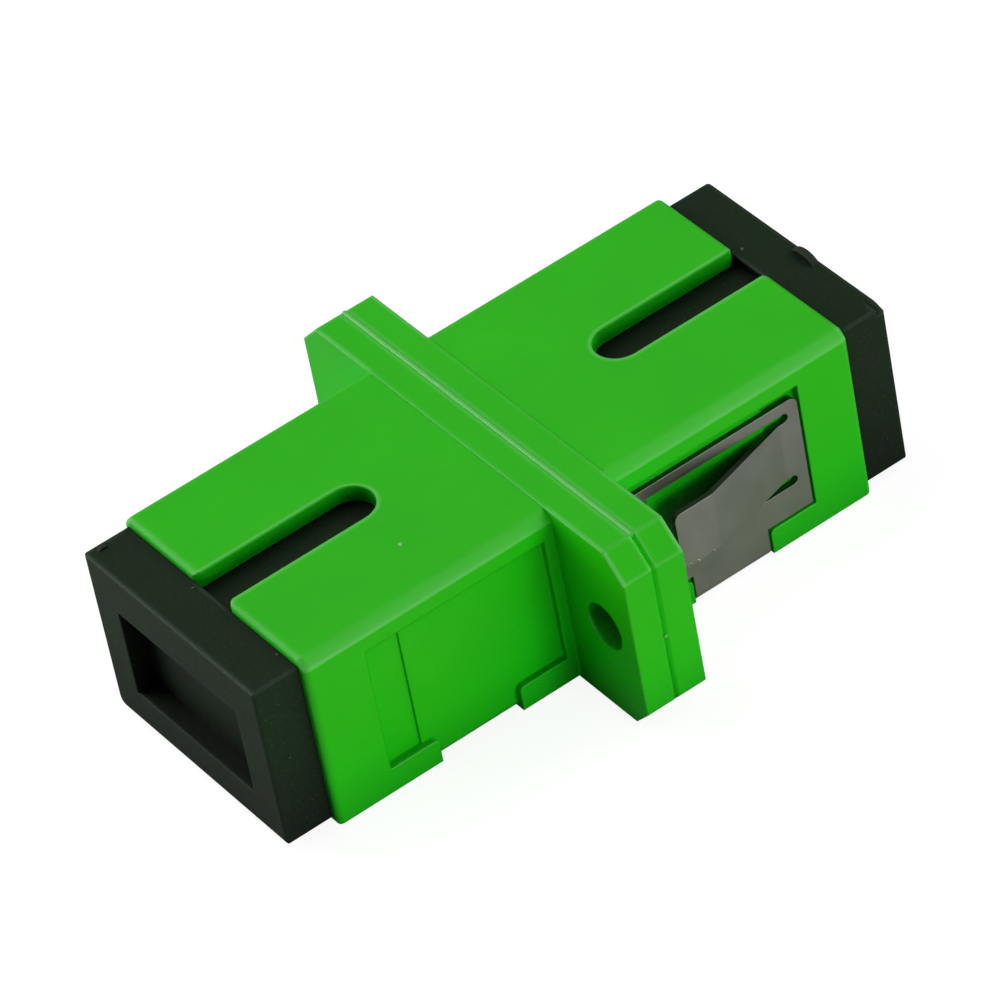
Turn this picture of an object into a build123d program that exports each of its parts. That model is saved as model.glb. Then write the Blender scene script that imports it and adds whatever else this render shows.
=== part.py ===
from build123d import *
import os

# A simplex fibre optic adapter: two alike moulded halves welded at a screw flange, latch
# inserts and a slit alignment sleeve inside, a folded steel clip that holds it in a panel,
# and a push-in dust cap in each port.
# X runs across the wide side, Y runs along the light path, Z points up to the key slots.
# The origin is the middle of the alignment sleeve, on the plane where the halves meet.
# All sizes are millimetres.

# Body and flange
body_w = 12.8
body_h = 9.0
half_len = 13.75
long_edge_bevel = 0.42
long_edge_soft = 0.22
under_edge_bevel = 0.18
end_edge_soft = 0.3
ear_end = 2.0
flange_half = 1.5
flange_step = 0.06
flange_top_corner = 1.15
flange_bottom_corner = 0.95
flange_edge_soft = 0.05
parting_chamfer = 0.12
hole_pitch = 18.0
hole_d = 2.2

# Port and key slot
port_w = 9.0
port_h = 7.4
port_corner = 0.3
port_lead_in = 0.25
slot_w = 2.25
slot_len = 8.0
slot_mouth_soft = 0.35

# Latch insert: plate, sleeve holder and hooked arms
plate_w = 10.2
plate_h = 7.8
plate_t = 1.2
plate_corner = 0.6
plate_clearance = 0.05
sleeve_id = 2.5
sleeve_od = 3.2
sleeve_len = 11.4
sleeve_slit = 0.5
sleeve_edge = 0.12
sleeve_clearance = 0.05
sleeve_end_play = 0.05
holder_wall = 0.8
holder_lip = 0.5
holder_lip_bore = 2.9
holder_lead_in = 0.3
arm_clearance = 0.27
arm_t = 0.7
arm_h = 3.2
arm_reach = 8.8
hook_len = 1.0
hook_catch = 0.45
hook_flat = 0.25
arm_root_soft = 0.25

# Side recess that takes the clip
recess_depth = 0.3
recess_near = 2.0
recess_far = 10.95
recess_top = 3.3
lip_top = -3.1
lip_near_end = 4.45
lip_far_end = 8.55
lip_corner = 0.25
lip_foot_soft = 0.22
sunk_panel_start = 9.2
sunk_panel_extra = 0.1

# Panel clip
sheet = 0.25
clip_clearance = 0.1
clip_bend = 0.2
wing_top_gap = 0.5
wing_corner = 0.4
wing_band = 0.55
tongue_slit = 0.45
tongue_w = 2.9
wing_end_w = 0.85
tongue_knee = 5.3
tongue_tip = 3.4
tongue_rise = 1.27
tongue_bend = 0.8
tongue_corner = 0.35
window_end_gap = 0.4
slit_overrun = 0.3

# Dust caps
cap_w = 11.9
cap_h = 8.2
cap_t = 2.25
cap_edge_soft = 0.12
cap_round_corner = 0.42
cap_fit = 0.06
skirt_wall = 0.72
skirt_end = 4.9
skirt_corner = 0.3
skirt_lead_in = 0.25
cap_web = 0.9
cap_sunk_w = 8.3
cap_sunk_h = 4.4
cap_sunk_depth = 1.0
cap_sunk_drop = 0.2
knocked_w = 0.9
knocked_h = 0.3
knocked_deep = 0.4
gate_nib_w = 1.9
gate_nib_h = 0.3
gate_nib_t = 0.35
gate_nib_x = 1.1
front_nib_w = 0.45
front_nib_h = 0.08
front_nib_t = 0.25

# Cutters run past a face by this much, so that no skin is left
past = 1.0
# Two places closer than this count as the same when edges and faces are picked
same_place = 0.01

os.makedirs("parts", exist_ok=True)

side_face = body_w / 2
flange_w = hole_pitch + 2 * ear_end
wing_seat = side_face - recess_depth
web_seat = -body_h / 2 + recess_depth
skirt_w = port_w - 2 * cap_fit
skirt_h = port_h - 2 * cap_fit
cap_face = half_len + cap_t


def y_z_box(y_low, y_high, z_low, z_high):
    """Draw a rectangle by its sides, on a sketch whose x runs along Y and y along Z."""
    with Locations(((y_low + y_high) / 2, (z_low + z_high) / 2)):
        return Rectangle(y_high - y_low, z_high - z_low)


def bent_strip(outer_side, bend, *points):
    """Draw the edge of a folded sheet whose inner face follows the points."""
    with BuildLine() as strip:
        FilletPolyline(*points, radius=bend)
        offset(amount=sheet, side=outer_side)
    return make_face(strip.edges())


with BuildPart() as housing_front:
    with BuildSketch(Plane.XZ) as body_section:
        Rectangle(body_w, body_h)
        chamfer(body_section.vertices().group_by(Axis.Y)[-1], long_edge_bevel)
        chamfer(body_section.vertices().group_by(Axis.Y)[0], under_edge_bevel)
        bevel_corners = body_section.vertices().filter_by(
            lambda v: v.Y > body_h / 2 - long_edge_bevel - same_place
        )
        fillet(bevel_corners, long_edge_soft)
    extrude(amount=half_len)
    end_face = housing_front.faces().sort_by(Axis.Y)[0]
    fillet(end_face.outer_wire().edges(), end_edge_soft)

    # Half of the flange, a little proud of the body all round
    with BuildSketch(Plane.XZ) as flange_outline:
        Rectangle(flange_w, body_h + 2 * flange_step)
        chamfer(flange_outline.vertices().group_by(Axis.Y)[-1], flange_top_corner)
        chamfer(flange_outline.vertices().group_by(Axis.Y)[0], flange_bottom_corner)
        with GridLocations(hole_pitch, 0, 2, 1):
            Circle(hole_d / 2, mode=Mode.SUBTRACT)
    extrude(amount=flange_half)
    y_faces = housing_front.faces().filter_by(Axis.Y)
    flange_face = y_faces.filter_by(
        lambda f: abs(f.center().Y + flange_half) < same_place
    ).sort_by(SortBy.AREA)[-1]
    parting_face = y_faces.sort_by(Axis.Y)[-1]
    fillet(flange_face.outer_wire().edges(), flange_edge_soft)
    chamfer(parting_face.outer_wire().edges(), parting_chamfer)

    # Port, with the pocket that holds the latch insert's plate behind it
    with BuildSketch(Plane.XZ):
        RectangleRounded(
            plate_w + 2 * plate_clearance, plate_h + 2 * plate_clearance, plate_corner
        )
    extrude(amount=plate_t, mode=Mode.SUBTRACT)
    with BuildSketch(Plane.XZ.offset(plate_t)):
        RectangleRounded(port_w, port_h, port_corner)
    extrude(amount=half_len - plate_t, mode=Mode.SUBTRACT)
    mouth_face = housing_front.faces().sort_by(Axis.Y)[0]
    chamfer(mouth_face.inner_wires()[0].edges(), port_lead_in)

    # Key slot through the top wall, with rounded corners at its mouth
    with BuildSketch(Plane.XY.offset(port_h / 2 - port_lead_in)) as key_slot:
        with Locations((0, -half_len)):
            SlotOverall(2 * slot_len, slot_w, rotation=90)
        with Locations((0, -half_len - past)):
            Rectangle(body_w, 2 * past)
        mouth_corners = key_slot.vertices().filter_by(
            lambda v: abs(v.Y + half_len) < same_place and abs(v.X) < slot_w
        )
        fillet(mouth_corners, slot_mouth_soft)
    extrude(amount=body_h, mode=Mode.SUBTRACT)

    # Side recesses, open downwards between two lips, for the clip's wings
    for side in (-1, 1):
        with BuildSketch(Plane.YZ.offset(side * wing_seat)) as recess:
            y_z_box(-recess_far, -recess_near, lip_top, recess_top)
            y_z_box(-lip_far_end, -lip_near_end, -body_h, lip_top)
            lip_corners = recess.vertices().filter_by(
                lambda v: abs(v.Y - lip_top) < same_place
                and -recess_far + same_place < v.X < -recess_near - same_place
            )
            fillet(lip_corners, lip_corner)
        extrude(amount=side * (recess_depth + past), mode=Mode.SUBTRACT)
        with BuildSketch(Plane.YZ.offset(side * (wing_seat - sunk_panel_extra))):
            y_z_box(-recess_far, -sunk_panel_start, lip_top, recess_top)
        extrude(amount=side * (recess_depth + past), mode=Mode.SUBTRACT)

    # Shallow channel under the body for the clip's web
    with BuildSketch(Plane.XY.offset(web_seat)):
        with Locations((0, -(lip_near_end + lip_far_end) / 2)):
            Rectangle(body_w + past, lip_far_end - lip_near_end)
    extrude(amount=-(recess_depth + past), mode=Mode.SUBTRACT)
    bend_edges = housing_front.edges().filter_by(Axis.Y).filter_by(
        lambda e: abs(abs(e.center().X) - wing_seat) < same_place
        and abs(e.center().Z - web_seat) < same_place
    )
    fillet(bend_edges, clip_bend)
    # The lips' lower corners are rounded where they end at the underside
    lip_feet = housing_front.edges().filter_by(Axis.X).filter_by(
        lambda e: abs(e.center().Z + body_h / 2) < same_place
        and min(abs(e.center().Y + y) for y in (lip_near_end, lip_far_end)) < same_place
    )
    fillet(lip_feet, lip_foot_soft)

with BuildPart() as housing_rear:
    add(housing_front.part.rotate(Axis.Z, 180))

holder_r = sleeve_od / 2 + sleeve_clearance + holder_wall
holder_seat = sleeve_len / 2 + sleeve_end_play
arm_out = skirt_w / 2 - skirt_wall - arm_clearance
arm_in = arm_out - arm_t

with BuildPart() as latch_insert_front:
    with BuildSketch(Plane.XZ):
        RectangleRounded(plate_w, plate_h, plate_corner)
    extrude(amount=plate_t)

    # A hooked arm: a flat beam whose tip turns inwards, with a ramp for the plug
    with BuildSketch(Plane.XY.offset(-arm_h / 2)):
        with BuildLine():
            Polyline(
                (arm_out, -plate_t / 2),
                (arm_out, -arm_reach),
                (arm_in, -arm_reach),
                (arm_in - hook_catch, -arm_reach + hook_len - hook_flat),
                (arm_in - hook_catch, -arm_reach + hook_len),
                (arm_in, -arm_reach + hook_len),
                (arm_in, -plate_t / 2),
                close=True,
            )
        make_face()
    extrude(amount=arm_h)
    root_edges = latch_insert_front.edges().filter_by(Axis.Z).filter_by(
        lambda e: abs(e.center().Y + plate_t) < same_place
    )
    fillet(root_edges, arm_root_soft)
    mirror(about=Plane.YZ)

    # Half of the sleeve holder, with a lip that keeps the sleeve in
    with BuildSketch(Plane.XZ):
        Circle(holder_r)
    extrude(amount=holder_seat + holder_lip)
    with BuildSketch(Plane.XZ):
        Circle(sleeve_od / 2 + sleeve_clearance)
    extrude(amount=holder_seat, mode=Mode.SUBTRACT)
    with BuildSketch(Plane.XZ):
        Circle(holder_lip_bore / 2)
    extrude(amount=holder_seat + holder_lip, mode=Mode.SUBTRACT)
    lip_face = latch_insert_front.faces().filter_by(Axis.Y).filter_by(
        lambda f: abs(f.center().Y + holder_seat + holder_lip) < same_place
    )[0]
    chamfer(lip_face.inner_wires()[0].edges(), holder_lead_in)

with BuildPart() as latch_insert_rear:
    add(latch_insert_front.part.rotate(Axis.Z, 180))

with BuildPart() as split_sleeve:
    with BuildSketch(Plane.XZ.offset(-sleeve_len / 2)):
        Circle(sleeve_od / 2)
        Circle(sleeve_id / 2, mode=Mode.SUBTRACT)
    extrude(amount=sleeve_len)
    chamfer(split_sleeve.edges().filter_by(GeomType.CIRCLE), sleeve_edge)
    with BuildSketch(Plane.XY):
        Rectangle(sleeve_slit, sleeve_len + past)
    extrude(amount=sleeve_od, mode=Mode.SUBTRACT)

web_near = lip_near_end + clip_clearance
web_far = lip_far_end - clip_clearance
wing_near = recess_near + clip_clearance
wing_far = recess_far - clip_clearance
wing_top = recess_top - wing_top_gap
wing_bottom = lip_top + clip_clearance
tongue_root = wing_far - wing_end_w
tongue_top = wing_top - wing_band - tongue_slit
tongue_bottom = tongue_top - tongue_w

with BuildPart() as panel_clip:
    # Web under the body, folded up at both sides
    with BuildSketch(Plane.XZ.offset(-web_far)):
        bent_strip(
            Side.RIGHT,
            clip_bend,
            (-wing_seat, wing_bottom + sheet),
            (-wing_seat, web_seat),
            (wing_seat, web_seat),
            (wing_seat, wing_bottom + sheet),
        )
    extrude(amount=web_far - web_near)

    # One wing, with the window that frees its spring tongue
    with BuildSketch(Plane.YZ.offset(wing_seat)) as wing:
        y_z_box(wing_near, wing_far, wing_bottom, wing_top)
        fillet(wing.vertices().group_by(Axis.Y)[-1], wing_corner)
    extrude(amount=sheet)
    slit_centres = (tongue_top + tongue_slit / 2, tongue_bottom - tongue_slit / 2)
    with BuildSketch(Plane.YZ.offset(wing_seat)):
        y_z_box(
            tongue_tip - window_end_gap,
            tongue_root,
            tongue_bottom - tongue_slit,
            tongue_top + tongue_slit,
        )
        for slit_z in slit_centres:
            with Locations((tongue_root + slit_overrun - tongue_slit, slit_z)):
                SlotOverall(2 * tongue_slit, tongue_slit)
    extrude(amount=sheet, mode=Mode.SUBTRACT)

    # The tongue: bent outwards, then level again to its free end near the flange
    with BuildSketch(Plane.XY.offset(tongue_bottom)):
        bent_strip(
            Side.LEFT,
            tongue_bend,
            (wing_seat, tongue_root + sheet),
            (wing_seat, tongue_root - sheet),
            (wing_seat + tongue_rise, tongue_knee),
            (wing_seat + tongue_rise, tongue_tip),
        )
    extrude(amount=tongue_w)
    tip_edges = panel_clip.edges().filter_by(Axis.X).filter_by(
        lambda e: abs(e.center().Y - tongue_tip) < same_place
    )
    fillet(tip_edges, tongue_corner)
    mirror(about=Plane.YZ)

# A dust cap as moulded: a block with a sunk outer face and a hollow plug for the port
with BuildPart() as plain_cap:
    with BuildSketch(Plane.XZ.offset(half_len)):
        Rectangle(cap_w, cap_h)
    extrude(amount=cap_t)
    with BuildSketch(Plane.XZ.offset(cap_face)):
        with Locations((0, -cap_sunk_drop)):
            Rectangle(cap_sunk_w, cap_sunk_h)
    extrude(amount=-cap_sunk_depth, mode=Mode.SUBTRACT)

with BuildPart() as cap_plug:
    with BuildSketch(Plane.XZ.offset(skirt_end)):
        RectangleRounded(skirt_w, skirt_h, skirt_corner)
    extrude(amount=half_len - skirt_end)
    chamfer(cap_plug.faces().sort_by(Axis.Y)[-1].edges(), skirt_lead_in)

with BuildPart() as plug_hollow:
    with BuildSketch(Plane.XZ.offset(skirt_end)):
        RectangleRounded(skirt_w - 2 * skirt_wall, skirt_h - 2 * skirt_wall, skirt_corner)
    extrude(amount=cap_face - cap_sunk_depth - cap_web - skirt_end)

with BuildPart() as dust_cap_front:
    add(plain_cap.part)
    low_left = dust_cap_front.edges().filter_by(Axis.Y).group_by(Axis.X)[0].sort_by(Axis.Z)[0]
    fillet(low_left, cap_round_corner)
    outer_edges = dust_cap_front.faces().sort_by(Axis.Y)[0].outer_wire().edges()
    fillet(outer_edges, cap_edge_soft)
    # A trace of moulding flash on one top edge
    with BuildSketch(Plane.YZ.offset(-cap_w / 2 + cap_edge_soft)):
        with Locations((-cap_face + cap_t / 3, cap_h / 2)):
            Ellipse(front_nib_w / 2, front_nib_h)
    extrude(amount=front_nib_t)
    add(cap_plug.part)
    add(plug_hollow.part, mode=Mode.SUBTRACT)

with BuildPart() as dust_cap_rear:
    add(plain_cap.part.rotate(Axis.Z, 180))
    # The same rounded edge is up here, as this cap was pushed in the other way up
    high_left = dust_cap_rear.edges().filter_by(Axis.Y).group_by(Axis.X)[0].sort_by(Axis.Z)[-1]
    fillet(high_left, cap_round_corner)
    outer_face = dust_cap_rear.faces().sort_by(Axis.Y)[-1]
    fillet(outer_face.outer_wire().edges(), cap_edge_soft)
    # One corner of the outer face is knocked off at a slant
    with BuildSketch(Plane.XZ.offset(-cap_face + knocked_deep)):
        with BuildLine():
            Polyline(
                (cap_w / 2 - knocked_w, cap_h / 2),
                (cap_w / 2 - knocked_w, cap_h / 2 + past),
                (cap_w / 2 + past, cap_h / 2 + past),
                (cap_w / 2 + past, cap_h / 2 - knocked_h * (1 + past / knocked_w)),
                close=True,
            )
        make_face()
    extrude(amount=-(knocked_deep + past), mode=Mode.SUBTRACT)
    # The stub that the moulding gate left on the top edge
    with BuildSketch(Plane.XZ.offset(-cap_face + cap_edge_soft + gate_nib_t)):
        with BuildLine():
            stub_arc = ThreePointArc(
                (gate_nib_x - gate_nib_w / 2, cap_h / 2 - gate_nib_h / 2),
                (gate_nib_x, cap_h / 2 + gate_nib_h),
                (gate_nib_x + gate_nib_w / 2, cap_h / 2 - gate_nib_h / 2),
            )
            Line(stub_arc @ 0, stub_arc @ 1)
        make_face()
    extrude(amount=-gate_nib_t)
    add(cap_plug.part.rotate(Axis.Z, 180))
    add(plug_hollow.part.rotate(Axis.Z, 180), mode=Mode.SUBTRACT)

for name, sub in (
    ("housing_front", housing_front),
    ("housing_rear", housing_rear),
    ("latch_insert_front", latch_insert_front),
    ("latch_insert_rear", latch_insert_rear),
    ("split_sleeve", split_sleeve),
    ("panel_clip", panel_clip),
    ("dust_cap_front", dust_cap_front),
    ("dust_cap_rear", dust_cap_rear),
):
    sub.part.label = name
    export_step(sub.part, f"parts/{name}.step")
    print(name, round(sub.part.volume, 2), sub.part.bounding_box())
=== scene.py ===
# %% [markdown]
# A simplex fibre optic adapter, dressed in Blender.
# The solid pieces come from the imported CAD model, in metres, already in place. This file gives
# each one the finish of the real thing, adds the thin traces that moulding and stamping leave,
# and sets a small studio round it. Sizes are written in millimetres and turned to metres by one
# factor.

# %% Load the frame
import math

import bpy
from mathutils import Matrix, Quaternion, Vector


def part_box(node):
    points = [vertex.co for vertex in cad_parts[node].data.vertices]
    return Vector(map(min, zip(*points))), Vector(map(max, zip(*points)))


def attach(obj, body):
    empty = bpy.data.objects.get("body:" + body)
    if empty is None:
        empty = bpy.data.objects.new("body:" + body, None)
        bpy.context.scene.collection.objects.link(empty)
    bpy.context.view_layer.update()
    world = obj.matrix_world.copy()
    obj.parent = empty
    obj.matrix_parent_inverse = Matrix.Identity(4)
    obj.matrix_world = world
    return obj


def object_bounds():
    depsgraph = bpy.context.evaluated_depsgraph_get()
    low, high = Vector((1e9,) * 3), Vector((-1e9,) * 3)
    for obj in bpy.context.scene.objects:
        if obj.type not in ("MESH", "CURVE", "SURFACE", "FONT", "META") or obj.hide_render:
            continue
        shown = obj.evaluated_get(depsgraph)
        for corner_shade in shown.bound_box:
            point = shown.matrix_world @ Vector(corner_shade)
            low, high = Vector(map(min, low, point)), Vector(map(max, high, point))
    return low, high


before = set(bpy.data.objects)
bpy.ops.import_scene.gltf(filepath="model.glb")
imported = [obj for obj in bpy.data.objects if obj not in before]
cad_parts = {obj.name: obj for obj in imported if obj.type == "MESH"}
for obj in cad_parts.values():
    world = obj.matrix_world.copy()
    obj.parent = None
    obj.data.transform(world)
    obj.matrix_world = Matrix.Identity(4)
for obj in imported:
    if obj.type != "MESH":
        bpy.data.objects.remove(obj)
cad_low, cad_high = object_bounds()
MM = 0.001
print("pieces:", sorted(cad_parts))
print("CAD box in mm:", [round(v / MM, 2) for v in (*cad_low, *cad_high)])

# %% [markdown]
# Colours are easiest to read as the hex values of a paint chip. Blender's shaders work in linear
# light, so one function turns a hex value into linear numbers.
# Materials are built from nodes. One small helper adds a node, sets its options and fills its
# inputs: a plain value is stored in the socket, and another node's output is linked to it.

# %% Colour and node helpers
def linear(hex_colour):
    """Turn an sRGB hex colour into linear red, green, blue and alpha."""
    channels = [int(hex_colour[i:i + 2], 16) / 255 for i in (1, 3, 5)]
    curve = [c / 12.92 if c <= 0.04045 else ((c + 0.055) / 1.055) ** 2.4 for c in channels]
    return (*curve, 1.0)


def add(tree, kind, inputs=None, **options):
    """Add one node to a tree, with its options set and its inputs filled or linked."""
    node = tree.nodes.new(kind)
    for name, value in options.items():
        setattr(node, name, value)
    for name, value in (inputs or {}).items():
        if isinstance(value, bpy.types.NodeSocket):
            tree.links.new(value, node.inputs[name])
        else:
            node.inputs[name].default_value = value
    return node


def new_material(name):
    """Start a material that has no nodes yet, and give back the material and its tree."""
    material = bpy.data.materials.new(name)
    material.use_nodes = True
    material.node_tree.nodes.clear()
    return material, material.node_tree


def per_mm(size):
    """Noise scale for a pattern whose features are about this many millimetres across."""
    return 1 / (size * MM)


# %% [markdown]
# Two things make a moulded part look real close up: its outer edges are slightly rounded and
# catch the light in a thin line, and its closed-in corners are deeper in colour, because the
# light there has bounced from wall to wall. Both are painted into the colour here: the thin
# line is a painted highlight, and the deeper corners are painted shade. Both could be painted
# by hand. Here the shader finds the places, so they stay right when a size of the part changes.
# A bevel node rounds the outer edges in the shading alone. An occlusion node gives 1 where
# nothing is near and less where something is: one that looks into the solid finds where the
# plastic is thin, which is along the edges, and one that looks out finds the inner corners,
# where nothing may be rounded or lightened. The light line lies where the surface faces a
# little above the horizon, because the lamps are low there, and fades towards the ceiling.

# %% Painted highlight lines on the outer edges
THIN_MM = 0.24                # how deep the look into the solid goes
THIN_EDGE = (0.97, 0.87)      # openness inside the solid, from thick plastic to its edge
FREE_FACE = (0.75, 0.95)      # openness outside, from an inner corner to a free face
ABOVE_HORIZON = (0.02, 0.3)   # upward parts of the normal between which the line grows
TO_CEILING = (0.55, 0.75)     # upward parts of the normal between which it fades
LEFT_AT_CEILING = 0.45        # what is left of the line there


def outer_edges(tree, radius_mm, near):
    """A normal that rounds the outer edges, and a mask of the painted highlight line along them.
    """
    soft = add(tree, "ShaderNodeBevel", {"Radius": radius_mm * MM}, samples=4)
    true = add(tree, "ShaderNodeNewGeometry")
    free = add(tree, "ShaderNodeMapRange", {"Value": near, "From Min": FREE_FACE[0],
                                            "From Max": FREE_FACE[1]})
    normal = add(tree, "ShaderNodeMix", {"Factor": free.outputs["Result"],
                                         "A": true.outputs["Normal"],
                                         "B": soft.outputs["Normal"]}, data_type="VECTOR")
    inner = add(tree, "ShaderNodeAmbientOcclusion", {"Distance": THIN_MM * MM}, samples=4,
                inside=True)
    thin = add(tree, "ShaderNodeMapRange", {"Value": inner.outputs["AO"],
                                            "From Min": THIN_EDGE[0],
                                            "From Max": THIN_EDGE[1]})
    height = add(tree, "ShaderNodeSeparateXYZ", {"Vector": soft.outputs["Normal"]})
    above = add(tree, "ShaderNodeMapRange", {"Value": height.outputs["Z"],
                                             "From Min": ABOVE_HORIZON[0],
                                             "From Max": ABOVE_HORIZON[1]})
    fade = add(tree, "ShaderNodeMapRange", {"Value": height.outputs["Z"],
                                            "From Min": TO_CEILING[0],
                                            "From Max": TO_CEILING[1],
                                            "To Min": 1.0, "To Max": LEFT_AT_CEILING})
    line = thin.outputs["Result"]
    for part in (above, fade, free):
        line = add(tree, "ShaderNodeMath", {0: line, 1: part.outputs["Result"]},
                   operation="MULTIPLY").outputs["Value"]
    return normal.outputs["Result"], line


# %% [markdown]
# The two long upper edges of the body are rounded far more than the rest, and in the photograph
# they show as a soft pale band that gathers into a line at its lower side. A lamp could make
# that band as a reflection, but it would light the top and the side as well. The band is
# painted instead, where the surface is slanted and stands far enough to the side.

# %% Painted pale band on the long upper edges
SLANTED_UP = (0.05, 0.2)      # upward parts of the normal where the band starts at the side
NOT_LEVEL = (0.995, 0.97)     # upward parts of the normal where it ends at the top
BAND_STARTS_MM = (5.2, 5.4)   # two ramps, so that the band gathers towards the side
BODY_SIDE_MM = 6.5            # just outside the side wall of the body
PAST_BODY_MM = 6.6            # from here on it is the flange, which has no band


def long_rounds(tree, strength):
    """A mask of the painted pale band on the rounded long edges of the body, told by their slant
    and their place.
    """
    normal = add(tree, "ShaderNodeNewGeometry").outputs["Normal"]
    slant = add(tree, "ShaderNodeSeparateXYZ", {"Vector": normal}).outputs["Z"]
    place = add(tree, "ShaderNodeTexCoord").outputs["Object"]
    across = add(tree, "ShaderNodeSeparateXYZ", {"Vector": place}).outputs["X"]
    aside = add(tree, "ShaderNodeMath", {0: across}, operation="ABSOLUTE").outputs["Value"]
    levels = [(slant, *SLANTED_UP), (slant, *NOT_LEVEL)]
    for start_mm in (*BAND_STARTS_MM, PAST_BODY_MM):
        levels.append((aside, start_mm * MM, BODY_SIDE_MM * MM))
    mask = strength
    for value, start, end in levels:
        part = add(tree, "ShaderNodeMapRange", {"Value": value, "From Min": start,
                                                "From Max": end})
        mask = add(tree, "ShaderNodeMath", {0: mask, 1: part.outputs["Result"]},
                   operation="MULTIPLY").outputs["Value"]
    return mask


# %% [markdown]
# Painted shade: the colour is made deeper towards a corner and near the floor, and in a wide pit
# such as a port or a bore it is painted nearly black. A hairline gap gets no painted shade,
# because the renderer darkens it anyway.

# %% Painted shade in corners and pits
CLOSED_IN_MM = 6.0            # how far the look out goes, about half the body
TO_CORNER = (0.95, 0.5)       # openness from a free face to a corner
TO_PIT = (0.5, 0.2)           # openness from a corner to a pit
HAIRLINE = (0.25, 0.6)        # near openness from a hairline gap to a wide opening


def closed_in(tree, near, normal):
    """Two masks of painted shade: one grows from open faces into corners, the other only in wide
    pits.
    """
    far = add(tree, "ShaderNodeAmbientOcclusion", {"Distance": CLOSED_IN_MM * MM,
                                                   "Normal": normal}, samples=4)
    corner_shade = add(tree, "ShaderNodeMapRange", {"Value": far.outputs["AO"],
                                              "From Min": TO_CORNER[0],
                                              "From Max": TO_CORNER[1]})
    deep = add(tree, "ShaderNodeMapRange", {"Value": far.outputs["AO"],
                                            "From Min": TO_PIT[0], "From Max": TO_PIT[1]})
    wide = add(tree, "ShaderNodeMapRange", {"Value": near, "From Min": HAIRLINE[0],
                                            "From Max": HAIRLINE[1]})
    pit_shade = add(tree, "ShaderNodeMath", {0: deep.outputs["Result"], 1: wide.outputs["Result"]},
              operation="MULTIPLY")
    return corner_shade.outputs["Result"], pit_shade.outputs["Value"]


# %% [markdown]
# The housing is PBT, a slightly waxy engineering plastic, injection moulded in a mould whose
# walls were spark eroded to a fine satin. The caps are a softer polyethylene, duller and more
# grained, with a little dust on it. Where the housing was welded it melted and set again, so
# the bead is smoother. Its paler colour is a painted highlight for the light line along the
# weld, and broken flash is painted paler still, for the light that passes through it.
# A picture of real plastic would need a place on every face. One recipe of noises needs none,
# and each plastic is only a set of values: its colours, how rough and how glossy it is, the
# width and depth of its grain, how far its edges are rounded and how strong the pale band is.
# The grain of the real mould is finer than a pixel, so it is drawn as coarse as it shows.

# %% Values of the moulded plastics
# In each plastic, the colour for the edges is a painted highlight, and the colours for corners
# and pits are painted shade. The face, flow and speck colours are the plastic's own.
PLASTICS = {
    "satin_green_pbt": {
        "face": "#3AE808", "flow": "#28D804", "corner_shade": "#0CE608", "pit_shade": "#02340E",
        "edge_highlight": "#8AF884", "speck": "#5AE048", "specks": 0.25, "roughness": 0.38,
        "specular": 0.3, "grain_mm": 0.16, "grain_depth_mm": 0.004, "edge_mm": 0.14,
        "sheen": 0.46},
    "matte_black_polyethylene": {
        "face": "#12300F", "flow": "#0E290C", "corner_shade": "#050C06", "pit_shade": "#050A05",
        "edge_highlight": "#465646", "speck": "#6B766B", "specks": 0.18, "roughness": 0.55,
        "specular": 0.27, "grain_mm": 0.22, "grain_depth_mm": 0.012, "edge_mm": 0.14,
        "sheen": 0.46},
    "satin_cream_pbt": {
        "face": "#E2DFD2", "flow": "#D8D4C6", "corner_shade": "#C9C2AC", "pit_shade": "#8A8470",
        "edge_highlight": "#F0EEE4", "roughness": 0.4, "specular": 0.5, "grain_mm": 0.16,
        "grain_depth_mm": 0.003, "edge_mm": 0.14, "sheen": 0.46},
    # The bead's pale colours are a painted highlight.
    "melted_pbt_painted_highlight": {
        "face": "#62E454", "flow": "#50E040", "corner_shade": "#48DC40", "pit_shade": "#1E9A24",
        "edge_highlight": "#86F080", "roughness": 0.3, "specular": 0.5, "grain_mm": 0.5,
        "grain_depth_mm": 0.002, "edge_mm": 0.02, "sheen": 0.0},
    # The flash is painted pale for the light that passes through it.
    "broken_green_flash": {
        "face": "#A8F0A0", "flow": "#98EC90", "corner_shade": "#90E488", "pit_shade": "#6CC864",
        "edge_highlight": "#B8F4B0", "roughness": 0.4, "specular": 0.5, "grain_mm": 0.5,
        "grain_depth_mm": 0.002, "edge_mm": 0.02, "sheen": 0.0},
    "pale_dust": {
        "face": "#667066", "flow": "#5C665C", "corner_shade": "#566056", "pit_shade": "#465046",
        "edge_highlight": "#768076", "roughness": 0.7, "specular": 0.2, "grain_mm": 0.5,
        "grain_depth_mm": 0.002, "edge_mm": 0.02, "sheen": 0.0},
}
print("plastics:", list(PLASTICS))

# %% [markdown]
# The recipe lays the colours over each other in the order in which the eye finds them: the face
# with its broad flow marks, painted shade in corners and pits, then pale specks of dust and
# scuffs where the plastic has them, and the painted highlight on the edges last. A fine grain
# bends the highlights a little.

# %% Moulded plastics
FLOW_MM = 5.0
SPECK_MM = 0.1
SPECK_LEVELS = (0.62, 0.8)    # only the peaks of the noise become specks
INNER_CORNER_MM = 0.5
ROUGHER, SMOOTHER = 0.08, 0.06
GRAIN_STRENGTH = 0.5
PLASTIC_IOR = 1.5


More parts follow.
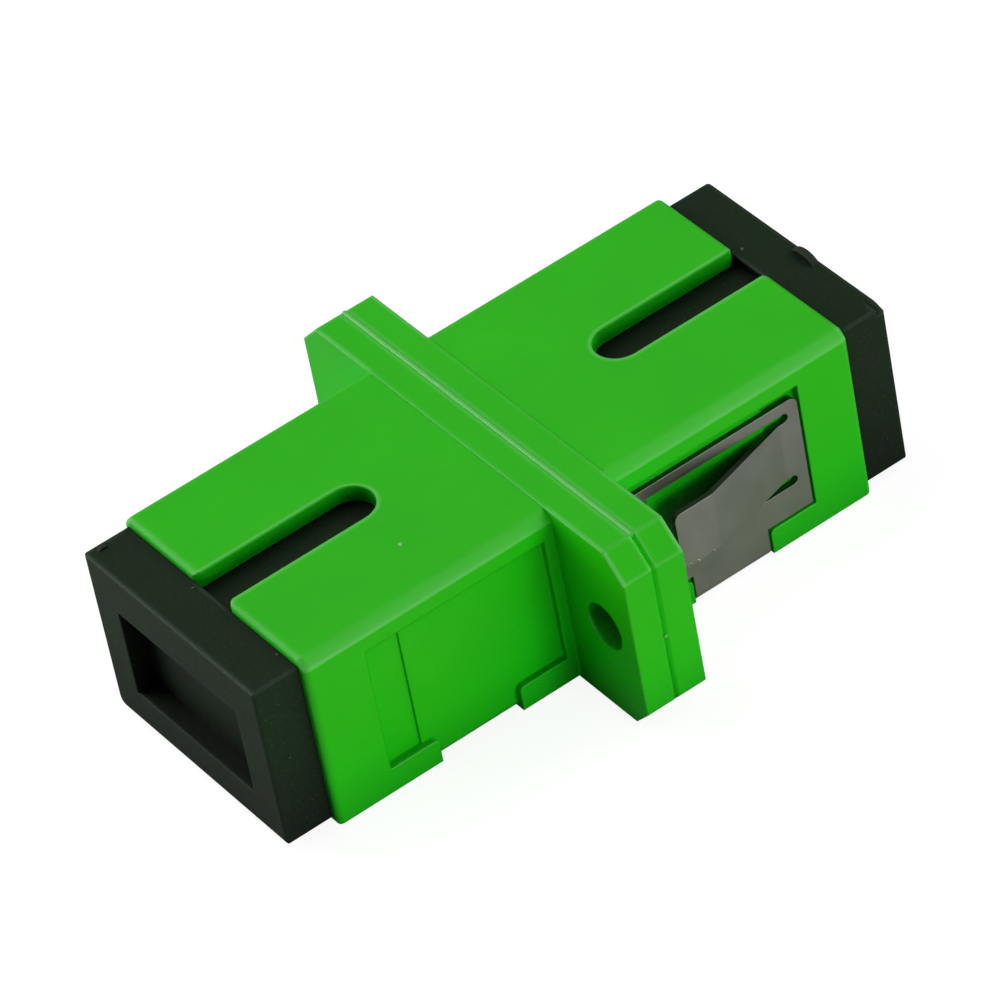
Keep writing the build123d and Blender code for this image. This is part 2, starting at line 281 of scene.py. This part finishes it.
def moulded_plastic(name, look):
    """Injection-moulded plastic from one set of colours and real sizes."""
    material, tree = new_material(name)
    place = add(tree, "ShaderNodeTexCoord").outputs["Object"]
    flow = add(tree, "ShaderNodeTexNoise", {"Vector": place, "Scale": per_mm(FLOW_MM),
                                            "Detail": 3.0, "Roughness": 0.55})
    grain = add(tree, "ShaderNodeTexNoise", {"Vector": place, "Scale": per_mm(look["grain_mm"]),
                                             "Detail": 2.0, "Roughness": 0.6})
    near = add(tree, "ShaderNodeAmbientOcclusion", {"Distance": INNER_CORNER_MM * MM},
               samples=3).outputs["AO"]
    normal, edge_highlight = outer_edges(tree, look["edge_mm"], near)
    corner_shade, pit_shade = closed_in(tree, near, normal)
    band = long_rounds(tree, look["sheen"])
    # The painted highlight is the edge line or the pale band, whichever is stronger, and it is
    # left out of inner corners.
    light = add(tree, "ShaderNodeMath", {0: edge_highlight, 1: band}, operation="MAXIMUM")
    free = add(tree, "ShaderNodeMath", {0: 1.0, 1: corner_shade}, operation="SUBTRACT")
    light_line = add(tree, "ShaderNodeMath", {0: light.outputs["Value"],
                                              1: free.outputs["Value"]},
                     operation="MULTIPLY")
    # Over the face go its flow marks, then painted shade in corners and pits.
    layers = [(flow.outputs["Fac"], "flow"), (corner_shade, "corner_shade"), (pit_shade, "pit_shade")]
    if "speck" in look:
        dots = add(tree, "ShaderNodeTexNoise", {"Vector": place, "Scale": per_mm(SPECK_MM),
                                                "Detail": 1.0})
        specks = add(tree, "ShaderNodeMapRange",
                     {"Value": dots.outputs["Fac"], "From Min": SPECK_LEVELS[0],
                      "From Max": SPECK_LEVELS[1], "To Max": look["specks"]})
        layers.append((specks.outputs["Result"], "speck"))
    layers.append((light_line.outputs["Value"], "edge_highlight"))
    colour = linear(look["face"])
    for mask, upper in layers:
        colour = add(tree, "ShaderNodeMix", {"Factor": mask, "A": colour,
                                             "B": linear(look[upper])},
                     data_type="RGBA").outputs["Result"]
    rough = add(tree, "ShaderNodeMapRange", {"Value": grain.outputs["Fac"],
                                             "To Min": look["roughness"] - SMOOTHER,
                                             "To Max": look["roughness"] + ROUGHER})
    bump = add(tree, "ShaderNodeBump", {"Height": grain.outputs["Fac"],
                                        "Strength": GRAIN_STRENGTH,
                                        "Distance": look["grain_depth_mm"] * MM,
                                        "Normal": normal})
    surface = add(tree, "ShaderNodeBsdfPrincipled",
                  {"Base Color": colour, "Roughness": rough.outputs["Result"],
                   "Normal": bump.outputs["Normal"], "IOR": PLASTIC_IOR,
                   "Specular IOR Level": look["specular"]})
    add(tree, "ShaderNodeOutputMaterial", {"Surface": surface.outputs["BSDF"]})
    print(name, "made from", len(tree.nodes), "nodes")
    return material


plastic = {name: moulded_plastic(name, look) for name, look in PLASTICS.items()}

# %% [markdown]
# The clip is stainless strip, about a quarter of a millimetre thick, rolled to a satin and then
# stamped and folded. Rolling leaves fine streaks along the strip. An anisotropic shader could
# show them, but the strip is small, so a noise squeezed along one direction is enough: it moves
# the roughness and the bump. The streaks of the real strip are finer than a pixel and are drawn
# coarser, so that they show. Stamping tears the cut edges, which look darker. The clip's flat
# sides face sideways or down, which tells a cut edge by its normal. A burr only glints.

# %% Rolled stainless strip
STEEL = "#AAAAA0"
STEEL_LIGHT = "#C8C8BC"
STEEL_CUT = "#50504A"
# A near-white cut colour for the burrs: a painted glint.
STEEL_BURR_GLINT = "#E2E2DA"
STREAK_LONG_MM = 3.0
STREAK_WIDE_MM = 0.06
STREAK_DEPTH_MM = 0.002
STREAK_STRENGTH = 0.35
CLOUD_MM = 1.6
STRIP_EDGE_MM = 0.04
CUT_EDGE = (0.7, 0.3)         # how squarely a face looks sideways or down, from flat to cut
STEEL_SMOOTH, STEEL_ROUGH = 0.26, 0.42


def rolled_steel(name, cut_and_glint_colour):
    """Satin stainless strip: streaks along the rolling direction, and cut edges in a colour of
    their own, darker on the clip and a painted glint on a burr.
    """
    material, tree = new_material(name)
    place = add(tree, "ShaderNodeTexCoord").outputs["Object"]
    squeeze = add(tree, "ShaderNodeMapping",
                  {"Vector": place,
                   "Scale": (per_mm(STREAK_WIDE_MM), per_mm(STREAK_LONG_MM),
                             per_mm(STREAK_WIDE_MM))})
    streaks = add(tree, "ShaderNodeTexNoise", {"Vector": squeeze.outputs["Vector"],
                                               "Scale": 1.0, "Detail": 3.0})
    cloud = add(tree, "ShaderNodeTexNoise", {"Vector": place, "Scale": per_mm(CLOUD_MM),
                                             "Detail": 2.0})
    soft = add(tree, "ShaderNodeBevel", {"Radius": STRIP_EDGE_MM * MM}, samples=6)
    true = add(tree, "ShaderNodeNewGeometry").outputs["Normal"]
    facing = add(tree, "ShaderNodeSeparateXYZ", {"Vector": true})
    sideways = add(tree, "ShaderNodeMath", {0: facing.outputs["X"]}, operation="ABSOLUTE")
    down = add(tree, "ShaderNodeMath", {0: facing.outputs["Z"], 1: -1.0}, operation="MULTIPLY")
    flat = add(tree, "ShaderNodeMath", {0: sideways.outputs["Value"],
                                        1: down.outputs["Value"]}, operation="MAXIMUM")
    cut_and_glint = add(tree, "ShaderNodeMapRange", {"Value": flat.outputs["Value"],
                                           "From Min": CUT_EDGE[0], "From Max": CUT_EDGE[1]})
    tone = linear(STEEL)
    for mask, upper in ((cloud.outputs["Fac"], STEEL_LIGHT),
                        (cut_and_glint.outputs["Result"], cut_and_glint_colour)):
        tone = add(tree, "ShaderNodeMix", {"Factor": mask, "A": tone, "B": linear(upper)},
                   data_type="RGBA").outputs["Result"]
    rough = add(tree, "ShaderNodeMapRange", {"Value": streaks.outputs["Fac"],
                                             "To Min": STEEL_SMOOTH, "To Max": STEEL_ROUGH})
    bump = add(tree, "ShaderNodeBump", {"Height": streaks.outputs["Fac"],
                                        "Strength": STREAK_STRENGTH,
                                        "Distance": STREAK_DEPTH_MM * MM,
                                        "Normal": soft.outputs["Normal"]})
    surface = add(tree, "ShaderNodeBsdfPrincipled",
                  {"Base Color": tone, "Metallic": 1.0,
                   "Roughness": rough.outputs["Result"], "Normal": bump.outputs["Normal"]})
    add(tree, "ShaderNodeOutputMaterial", {"Surface": surface.outputs["BSDF"]})
    print(name, "made from", len(tree.nodes), "nodes")
    return material


stainless = rolled_steel("rolled_satin_stainless", STEEL_CUT)
# The burrs' near-white cut faces are a painted glint.
burr_glint = rolled_steel("stainless_burr_painted_glint", STEEL_BURR_GLINT)

# %% [markdown]
# The sleeve between the two ports is zirconia, a dense white ceramic ground and lapped so that
# a ferrule slides in without play. It shows only when a cap is off: smooth, bright and glossy.
# A plain white would do, and a very faint cloud of two whites keeps it from looking like paint.

# %% Lapped zirconia
ZIRCONIA = "#F2F1EA"
ZIRCONIA_WARM = "#E9E7DE"
LAPPING_MM = 0.3
LAPPING_DEPTH_MM = 0.001
LAPPING_STRENGTH = 0.1
ZIRCONIA_IOR = 2.1
ZIRCONIA_ROUGHNESS = 0.16

zirconia, zirconia_tree = new_material("lapped_white_zirconia")
zirconia_place = add(zirconia_tree, "ShaderNodeTexCoord").outputs["Object"]
lapping = add(zirconia_tree, "ShaderNodeTexNoise", {"Vector": zirconia_place,
                                                    "Scale": per_mm(LAPPING_MM)})
zirconia_tone = add(zirconia_tree, "ShaderNodeMix", {"Factor": lapping.outputs["Fac"],
                                                     "A": linear(ZIRCONIA),
                                                     "B": linear(ZIRCONIA_WARM)},
                    data_type="RGBA")
lapped = add(zirconia_tree, "ShaderNodeBump", {"Height": lapping.outputs["Fac"],
                                               "Strength": LAPPING_STRENGTH,
                                               "Distance": LAPPING_DEPTH_MM * MM})
ceramic = add(zirconia_tree, "ShaderNodeBsdfPrincipled",
              {"Base Color": zirconia_tone.outputs["Result"],
               "Roughness": ZIRCONIA_ROUGHNESS,
               "Normal": lapped.outputs["Normal"], "IOR": ZIRCONIA_IOR})
add(zirconia_tree, "ShaderNodeOutputMaterial", {"Surface": ceramic.outputs["BSDF"]})
print(zirconia.name, "made from", len(zirconia_tree.nodes), "nodes")

# %% [markdown]
# Each CAD piece keeps its own mesh and only changes its material. The housing halves are green
# because that colour marks an adapter for plugs with slanted ends. The latch inserts are hidden
# in the photograph, and their cream PBT is a guess.

# %% Dress the pieces
FINISHES = {
    "housing_front": plastic["satin_green_pbt"],
    "housing_rear": plastic["satin_green_pbt"],
    "latch_insert_front": plastic["satin_cream_pbt"],
    "latch_insert_rear": plastic["satin_cream_pbt"],
    "split_sleeve": zirconia,
    "panel_clip": stainless,
    "dust_cap_front": plastic["matte_black_polyethylene"],
    "dust_cap_rear": plastic["matte_black_polyethylene"],
}
for piece_name, finish in FINISHES.items():
    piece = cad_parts[piece_name]
    piece.data.materials.clear()
    piece.data.materials.append(finish)
    print(piece_name, len(piece.data.polygons), "triangles,", finish.name)

# %% [markdown]
# A finished part always carries some small traces: flash that broke off in the mould, dust on
# the soft caps, burrs where the clip was stamped, and a bead of melted plastic along the top of
# the weld between the two halves. Each could be modelled by hand. Geometry Nodes make them from
# a few points instead: every trace starts as a small mesh of points, and a node group turns it
# into its shape. The first two helpers hold what all such groups share.

# %% Start and end of a node group
def new_group(name, *numbers):
    """Start a Geometry Nodes group with geometry in and out, a material and named numbers."""
    group = bpy.data.node_groups.new(name, "GeometryNodeTree")
    group.interface.new_socket("Geometry", in_out="INPUT", socket_type="NodeSocketGeometry")
    group.interface.new_socket("Material", in_out="INPUT", socket_type="NodeSocketMaterial")
    for number in numbers:
        group.interface.new_socket(number, in_out="INPUT", socket_type="NodeSocketFloat")
    group.interface.new_socket("Geometry", in_out="OUTPUT", socket_type="NodeSocketGeometry")
    return group, add(group, "NodeGroupInput").outputs


def end_group(group, geometry, material):
    """Give the geometry its material and send it out of the group."""
    dressed = add(group, "GeometryNodeSetMaterial", {"Geometry": geometry, "Material": material})
    add(group, "NodeGroupOutput", {"Geometry": dressed.outputs["Geometry"]})


# %% [markdown]
# A crumb is a flat little lump. The group puts one on every point, each with its own three
# widths, a tilt of up to 34 degrees and a turn of up to a full circle, all drawn at random from
# fixed seeds. Modelled by hand, every crumb would be the same or would cost a mesh of its own.

# %% Crumbs, specks and burrs
SMALLEST_CRUMB = (0.35, 0.35, 0.2)    # half widths as shares of the given size
LARGEST_CRUMB = (0.6, 0.5, 0.4)
CRUMB_TURN = (0.6, 0.6, math.tau)
SHAPE_SEED = 7
TURN_SEED = 3


def crumbs_group():
    """A lump of random shape and turn on every point of the mesh that comes in."""
    group, given = new_group("crumbs", "Size")
    lump = add(group, "GeometryNodeMeshIcoSphere", {"Radius": 1.0, "Subdivisions": 2})
    shape = add(group, "FunctionNodeRandomValue", {0: SMALLEST_CRUMB, 1: LARGEST_CRUMB,
                                                   "Seed": SHAPE_SEED},
                data_type="FLOAT_VECTOR")
    size = add(group, "ShaderNodeVectorMath", {0: shape.outputs[0], "Scale": given["Size"]},
               operation="SCALE")
    turn = add(group, "FunctionNodeRandomValue", {1: CRUMB_TURN, "Seed": TURN_SEED},
               data_type="FLOAT_VECTOR")
    spread = add(group, "GeometryNodeInstanceOnPoints",
                 {"Points": given["Geometry"], "Instance": lump.outputs["Mesh"],
                  "Rotation": turn.outputs[0], "Scale": size.outputs["Vector"]})
    solid = add(group, "GeometryNodeRealizeInstances", {"Geometry": spread.outputs["Instances"]})
    end_group(group, solid.outputs["Geometry"], given["Material"])
    return group


# %% [markdown]
# The bead is a round section swept along a line. A straight one would look drawn with a ruler,
# so the line is cut into short steps and a noise moves them a little to and fro.

# %% Weld bead
BEAD_STEPS = 120
BEAD_SIDES = 10


def bead_group():
    """A thin bead that follows the line that comes in, and wobbles a little."""
    group, given = new_group("weld_bead", "Radius", "Wobble", "Wobble Length")
    line = add(group, "GeometryNodeMeshToCurve", {"Mesh": given["Geometry"]})
    fine = add(group, "GeometryNodeResampleCurve", {"Curve": line.outputs["Curve"],
                                                    "Count": BEAD_STEPS})
    scale = add(group, "ShaderNodeMath", {0: 1.0, 1: given["Wobble Length"]},
                operation="DIVIDE")
    noise = add(group, "ShaderNodeTexNoise", {"Scale": scale.outputs["Value"], "Detail": 2.0})
    centred = add(group, "ShaderNodeVectorMath", {0: noise.outputs["Color"],
                                                  1: (0.5, 0.5, 0.5)}, operation="SUBTRACT")
    wobble = add(group, "ShaderNodeVectorMath", {0: centred.outputs["Vector"],
                                                 "Scale": given["Wobble"]}, operation="SCALE")
    moved = add(group, "GeometryNodeSetPosition", {"Geometry": fine.outputs["Curve"],
                                                   "Offset": wobble.outputs["Vector"]})
    section = add(group, "GeometryNodeCurvePrimitiveCircle", {"Resolution": BEAD_SIDES,
                                                              "Radius": given["Radius"]})
    swept = add(group, "GeometryNodeCurveToMesh",
                {"Curve": moved.outputs["Geometry"], "Profile Curve": section.outputs["Curve"],
                 "Fill Caps": True})
    end_group(group, swept.outputs["Mesh"], given["Material"])
    return group


# %% [markdown]
# One function makes a piece from a list of points and a group: it fills the group's inputs by
# their names, turns the result into a plain mesh and lets it move with its body. The export
# needs a plain mesh, which is why the modifier doesn't stay.

# %% Make a piece from points
def made_from(name, group, points_mm, body, joined=False, **settings):
    """Run a node group on points given in millimetres, keep its mesh and ride with a body."""
    links = [(i, i + 1) for i in range(len(points_mm) - 1)] if joined else []
    start = bpy.data.meshes.new(name)
    start.from_pydata([Vector(point) * MM for point in points_mm], links, [])
    piece = bpy.data.objects.new(name, start)
    bpy.context.scene.collection.objects.link(piece)
    maker = piece.modifiers.new(name, "NODES")
    maker.node_group = group
    for item in group.interface.items_tree:
        if item.in_out == "INPUT" and item.name in settings:
            maker[item.identifier] = settings[item.name]
    made = bpy.data.meshes.new_from_object(
        piece.evaluated_get(bpy.context.evaluated_depsgraph_get()))
    piece.modifiers.clear()
    piece.data = made
    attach(piece, body)
    print(name, len(made.polygons), "faces, rides on", body)


# %% [markdown]
# The bead runs along the top of the flange between its two cut corners, and most of its round
# section is sunk in the groove of the joint. The flange's size is read from the front half.

# %% Add the weld bead
FLANGE_CORNER_MM = 1.15
WELD_RADIUS_MM = 0.13
WELD_SINK_MM = 0.05
WELD_WOBBLE_MM = 0.03
WELD_WOBBLE_LENGTH_MM = 1.5
front_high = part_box("housing_front")[1]
ear_end = front_high.x / MM
weld_half = ear_end - FLANGE_CORNER_MM
weld_z = front_high.z / MM - WELD_SINK_MM
made_from("weld_bead", bead_group(), [(-weld_half, 0.0, weld_z), (weld_half, 0.0, weld_z)],
          "adapter", joined=True, Material=plastic["melted_pbt_painted_highlight"],
          Radius=WELD_RADIUS_MM * MM, Wobble=WELD_WOBBLE_MM * MM,
          **{"Wobble Length": WELD_WOBBLE_LENGTH_MM * MM})

# %% [markdown]
# The crumbs lie where the photograph shows them: one on the top of the front half and one in
# the groove at the end of the flange, a row of burrs along the lower edge of the clip's tongue,
# three specks on the front cap and one on the rear cap. Each row below gives the body, the
# finish, the size of the crumbs and their places, in millimetres.

# %% Add the crumbs
TRACES = {
    "housing_crumbs": ("adapter", plastic["broken_green_flash"], 0.21,
                       [(3.5, -6.86, 4.53), (ear_end - 0.04, 0.01, -0.23)]),
    "clip_burrs": ("adapter", burr_glint, 0.12,
                   [(7.62, 4.19, -1.03), (7.62, 4.96, -1.03), (7.6, 5.25, -1.02),
                    (7.62, 3.8, -1.03)]),
    "front_cap_crumbs": ("front_cap", plastic["pale_dust"], 0.14,
                         [(4.74, -13.93, 4.12), (5.95, -15.05, 0.1), (-0.97, -14.03, 4.1)]),
    "rear_cap_crumbs": ("rear_cap", plastic["pale_dust"], 0.16, [(-1.24, 14.24, 4.1)]),
}
crumbs = crumbs_group()
for trace_name, (trace_body, trace_finish, trace_mm, trace_places) in TRACES.items():
    made_from(trace_name, crumbs, trace_places, trace_body, Material=trace_finish,
              Size=trace_mm * MM)

# %% [markdown]
# The floor is a pale sheet. To the camera it is nearly white and keeps only a faint shadow of
# the adapter: there it is a thin grey under a light of its own. For all other rays it is plain
# matt white paper, which throws soft light back up at the adapter. A single white material
# would need so much light for a white ground that the adapter would be washed out.

# %% Floor
FLOOR_SIZE_MM = 3000
FLOOR_GAP_MM = 0.02
PAPER = "#D6D6D6"
PAPER_TO_CAMERA = "#969696"
PAPER_GLOW = 0.9
WHITE = linear("#FFFFFF")

floor_mesh = bpy.data.meshes.new("floor")
half = FLOOR_SIZE_MM * MM / 2
floor_z = cad_low.z - FLOOR_GAP_MM * MM
floor_mesh.from_pydata(
    [(-half, -half, floor_z), (half, -half, floor_z), (half, half, floor_z),
     (-half, half, floor_z)], [], [(0, 1, 2, 3)])
floor = bpy.data.objects.new("floor", floor_mesh)
bpy.context.scene.collection.objects.link(floor)

paper, paper_tree = new_material("pale_paper")
seen = add(paper_tree, "ShaderNodeLightPath")
matt = add(paper_tree, "ShaderNodeBsdfDiffuse", {"Color": linear(PAPER)})
thin = add(paper_tree, "ShaderNodeBsdfDiffuse", {"Color": linear(PAPER_TO_CAMERA)})
glow = add(paper_tree, "ShaderNodeEmission", {"Color": WHITE, "Strength": PAPER_GLOW})
shown = add(paper_tree, "ShaderNodeAddShader", {0: thin.outputs["BSDF"],
                                                1: glow.outputs["Emission"]})
pick = add(paper_tree, "ShaderNodeMixShader",
           {"Fac": seen.outputs["Is Camera Ray"], 1: matt.outputs["BSDF"],
            2: shown.outputs["Shader"]})
add(paper_tree, "ShaderNodeOutputMaterial", {"Surface": pick.outputs["Shader"]})
floor_mesh.materials.append(paper)
print("floor at", round(floor_z / MM, 2), "mm")

# %% [markdown]
# The room is white to the camera and nearly dark to everything else, so that the lamps alone
# shape the adapter.

# %% Room
ROOM_LIGHT = 0.02

room = bpy.data.worlds.new("studio")
bpy.context.scene.world = room
room.use_nodes = True
room_tree = room.node_tree
room_tree.nodes.clear()
room_path = add(room_tree, "ShaderNodeLightPath")
room_seen = add(room_tree, "ShaderNodeBackground", {"Color": WHITE, "Strength": 1.0})
room_light = add(room_tree, "ShaderNodeBackground", {"Color": WHITE, "Strength": ROOM_LIGHT})
room_pick = add(room_tree, "ShaderNodeMixShader",
                {"Fac": room_path.outputs["Is Camera Ray"],
                 1: room_light.outputs["Background"], 2: room_seen.outputs["Background"]})
add(room_tree, "ShaderNodeOutputWorld", {"Surface": room_pick.outputs["Shader"]})
print("room light:", ROOM_LIGHT)

# %% [markdown]
# Eight soft boxes stand round the adapter at 40 cm, the way a product is shot on a white table.
# Two low ones on the left light the end faces of body and flange, two on the right light the
# long side, and four higher ones light the top from behind and from the left. Each row gives
# the compass angle from the front of the adapter, counted towards its right side, the height
# angle, the width in millimetres and the power in watts.

# %% Lamps
LAMP_DISTANCE_MM = 400
LAMPS = {
    "right_low": (96, 9, 185, 0.58),
    "right_mid": (120, 22, 185, 0.12),
    "back_high": (165, 38, 220, 0.34),
    "back_left": (240, 41, 185, 0.07),
    "left_low": (300, 12, 185, 0.48),
    "front_left_low": (330, 12, 185, 0.18),
    "left_mid": (300, 34, 190, 0.26),
    "left_top": (300, 65, 210, 0.29),
}


def direction(azimuth, elevation):
    """The unit vector from the adapter towards a compass angle and a height angle."""
    around, up = math.radians(azimuth), math.radians(elevation)
    return Vector((math.sin(around) * math.cos(up), -math.cos(around) * math.cos(up),
                   math.sin(up)))


for lamp_name, (azimuth, elevation, width_mm, watts) in LAMPS.items():
    lamp = bpy.data.lights.new(lamp_name, "AREA")
    lamp.shape = "SQUARE"
    lamp.size = width_mm * MM
    lamp.energy = watts
    stand = bpy.data.objects.new(lamp_name, lamp)
    stand.location = direction(azimuth, elevation) * LAMP_DISTANCE_MM * MM
    stand.rotation_mode = "QUATERNION"
    stand.rotation_quaternion = direction(azimuth, elevation).to_track_quat("Z", "Y")
    bpy.context.scene.collection.objects.link(stand)
print(len(LAMPS), "lamps,", round(sum(row[3] for row in LAMPS.values()), 2), "watts in all")

# %% [markdown]
# The camera stands where the photographer's did. Its place and lens were worked out from the
# edges of the body and the flange in the photograph: a long lens, about 30 cm away, high on
# the front right, and held at a slant.

# %% Camera
CAMERA_AZIMUTH = 60.78
CAMERA_ELEVATION = 40.82
CAMERA_ROLL = -11.47
CAMERA_DISTANCE_MM = 303.9
CAMERA_AIM_MM = (-0.10, 0.04, 0.12)
CAMERA_LENS_MM = 267.7
SENSOR_WIDTH_MM = 36.0
CLIP_NEAR_MM = 10
CLIP_FAR_MM = 10000

back = direction(CAMERA_AZIMUTH, CAMERA_ELEVATION)
camera = bpy.data.objects.new("camera", bpy.data.cameras.new("camera"))
camera.data.lens = CAMERA_LENS_MM
camera.data.sensor_width = SENSOR_WIDTH_MM
camera.data.clip_start = CLIP_NEAR_MM * MM
camera.data.clip_end = CLIP_FAR_MM * MM
camera.location = Vector(CAMERA_AIM_MM) * MM + back * CAMERA_DISTANCE_MM * MM
camera.rotation_mode = "QUATERNION"
level = (-back).to_track_quat("-Z", "Y")
camera.rotation_quaternion = level @ Quaternion((0, 0, 1), math.radians(CAMERA_ROLL))
bpy.context.scene.collection.objects.link(camera)
bpy.context.scene.camera = camera
bpy.context.scene.view_settings.view_transform = "Standard"
print("camera at", [round(v / MM, 1) for v in camera.location], "mm")
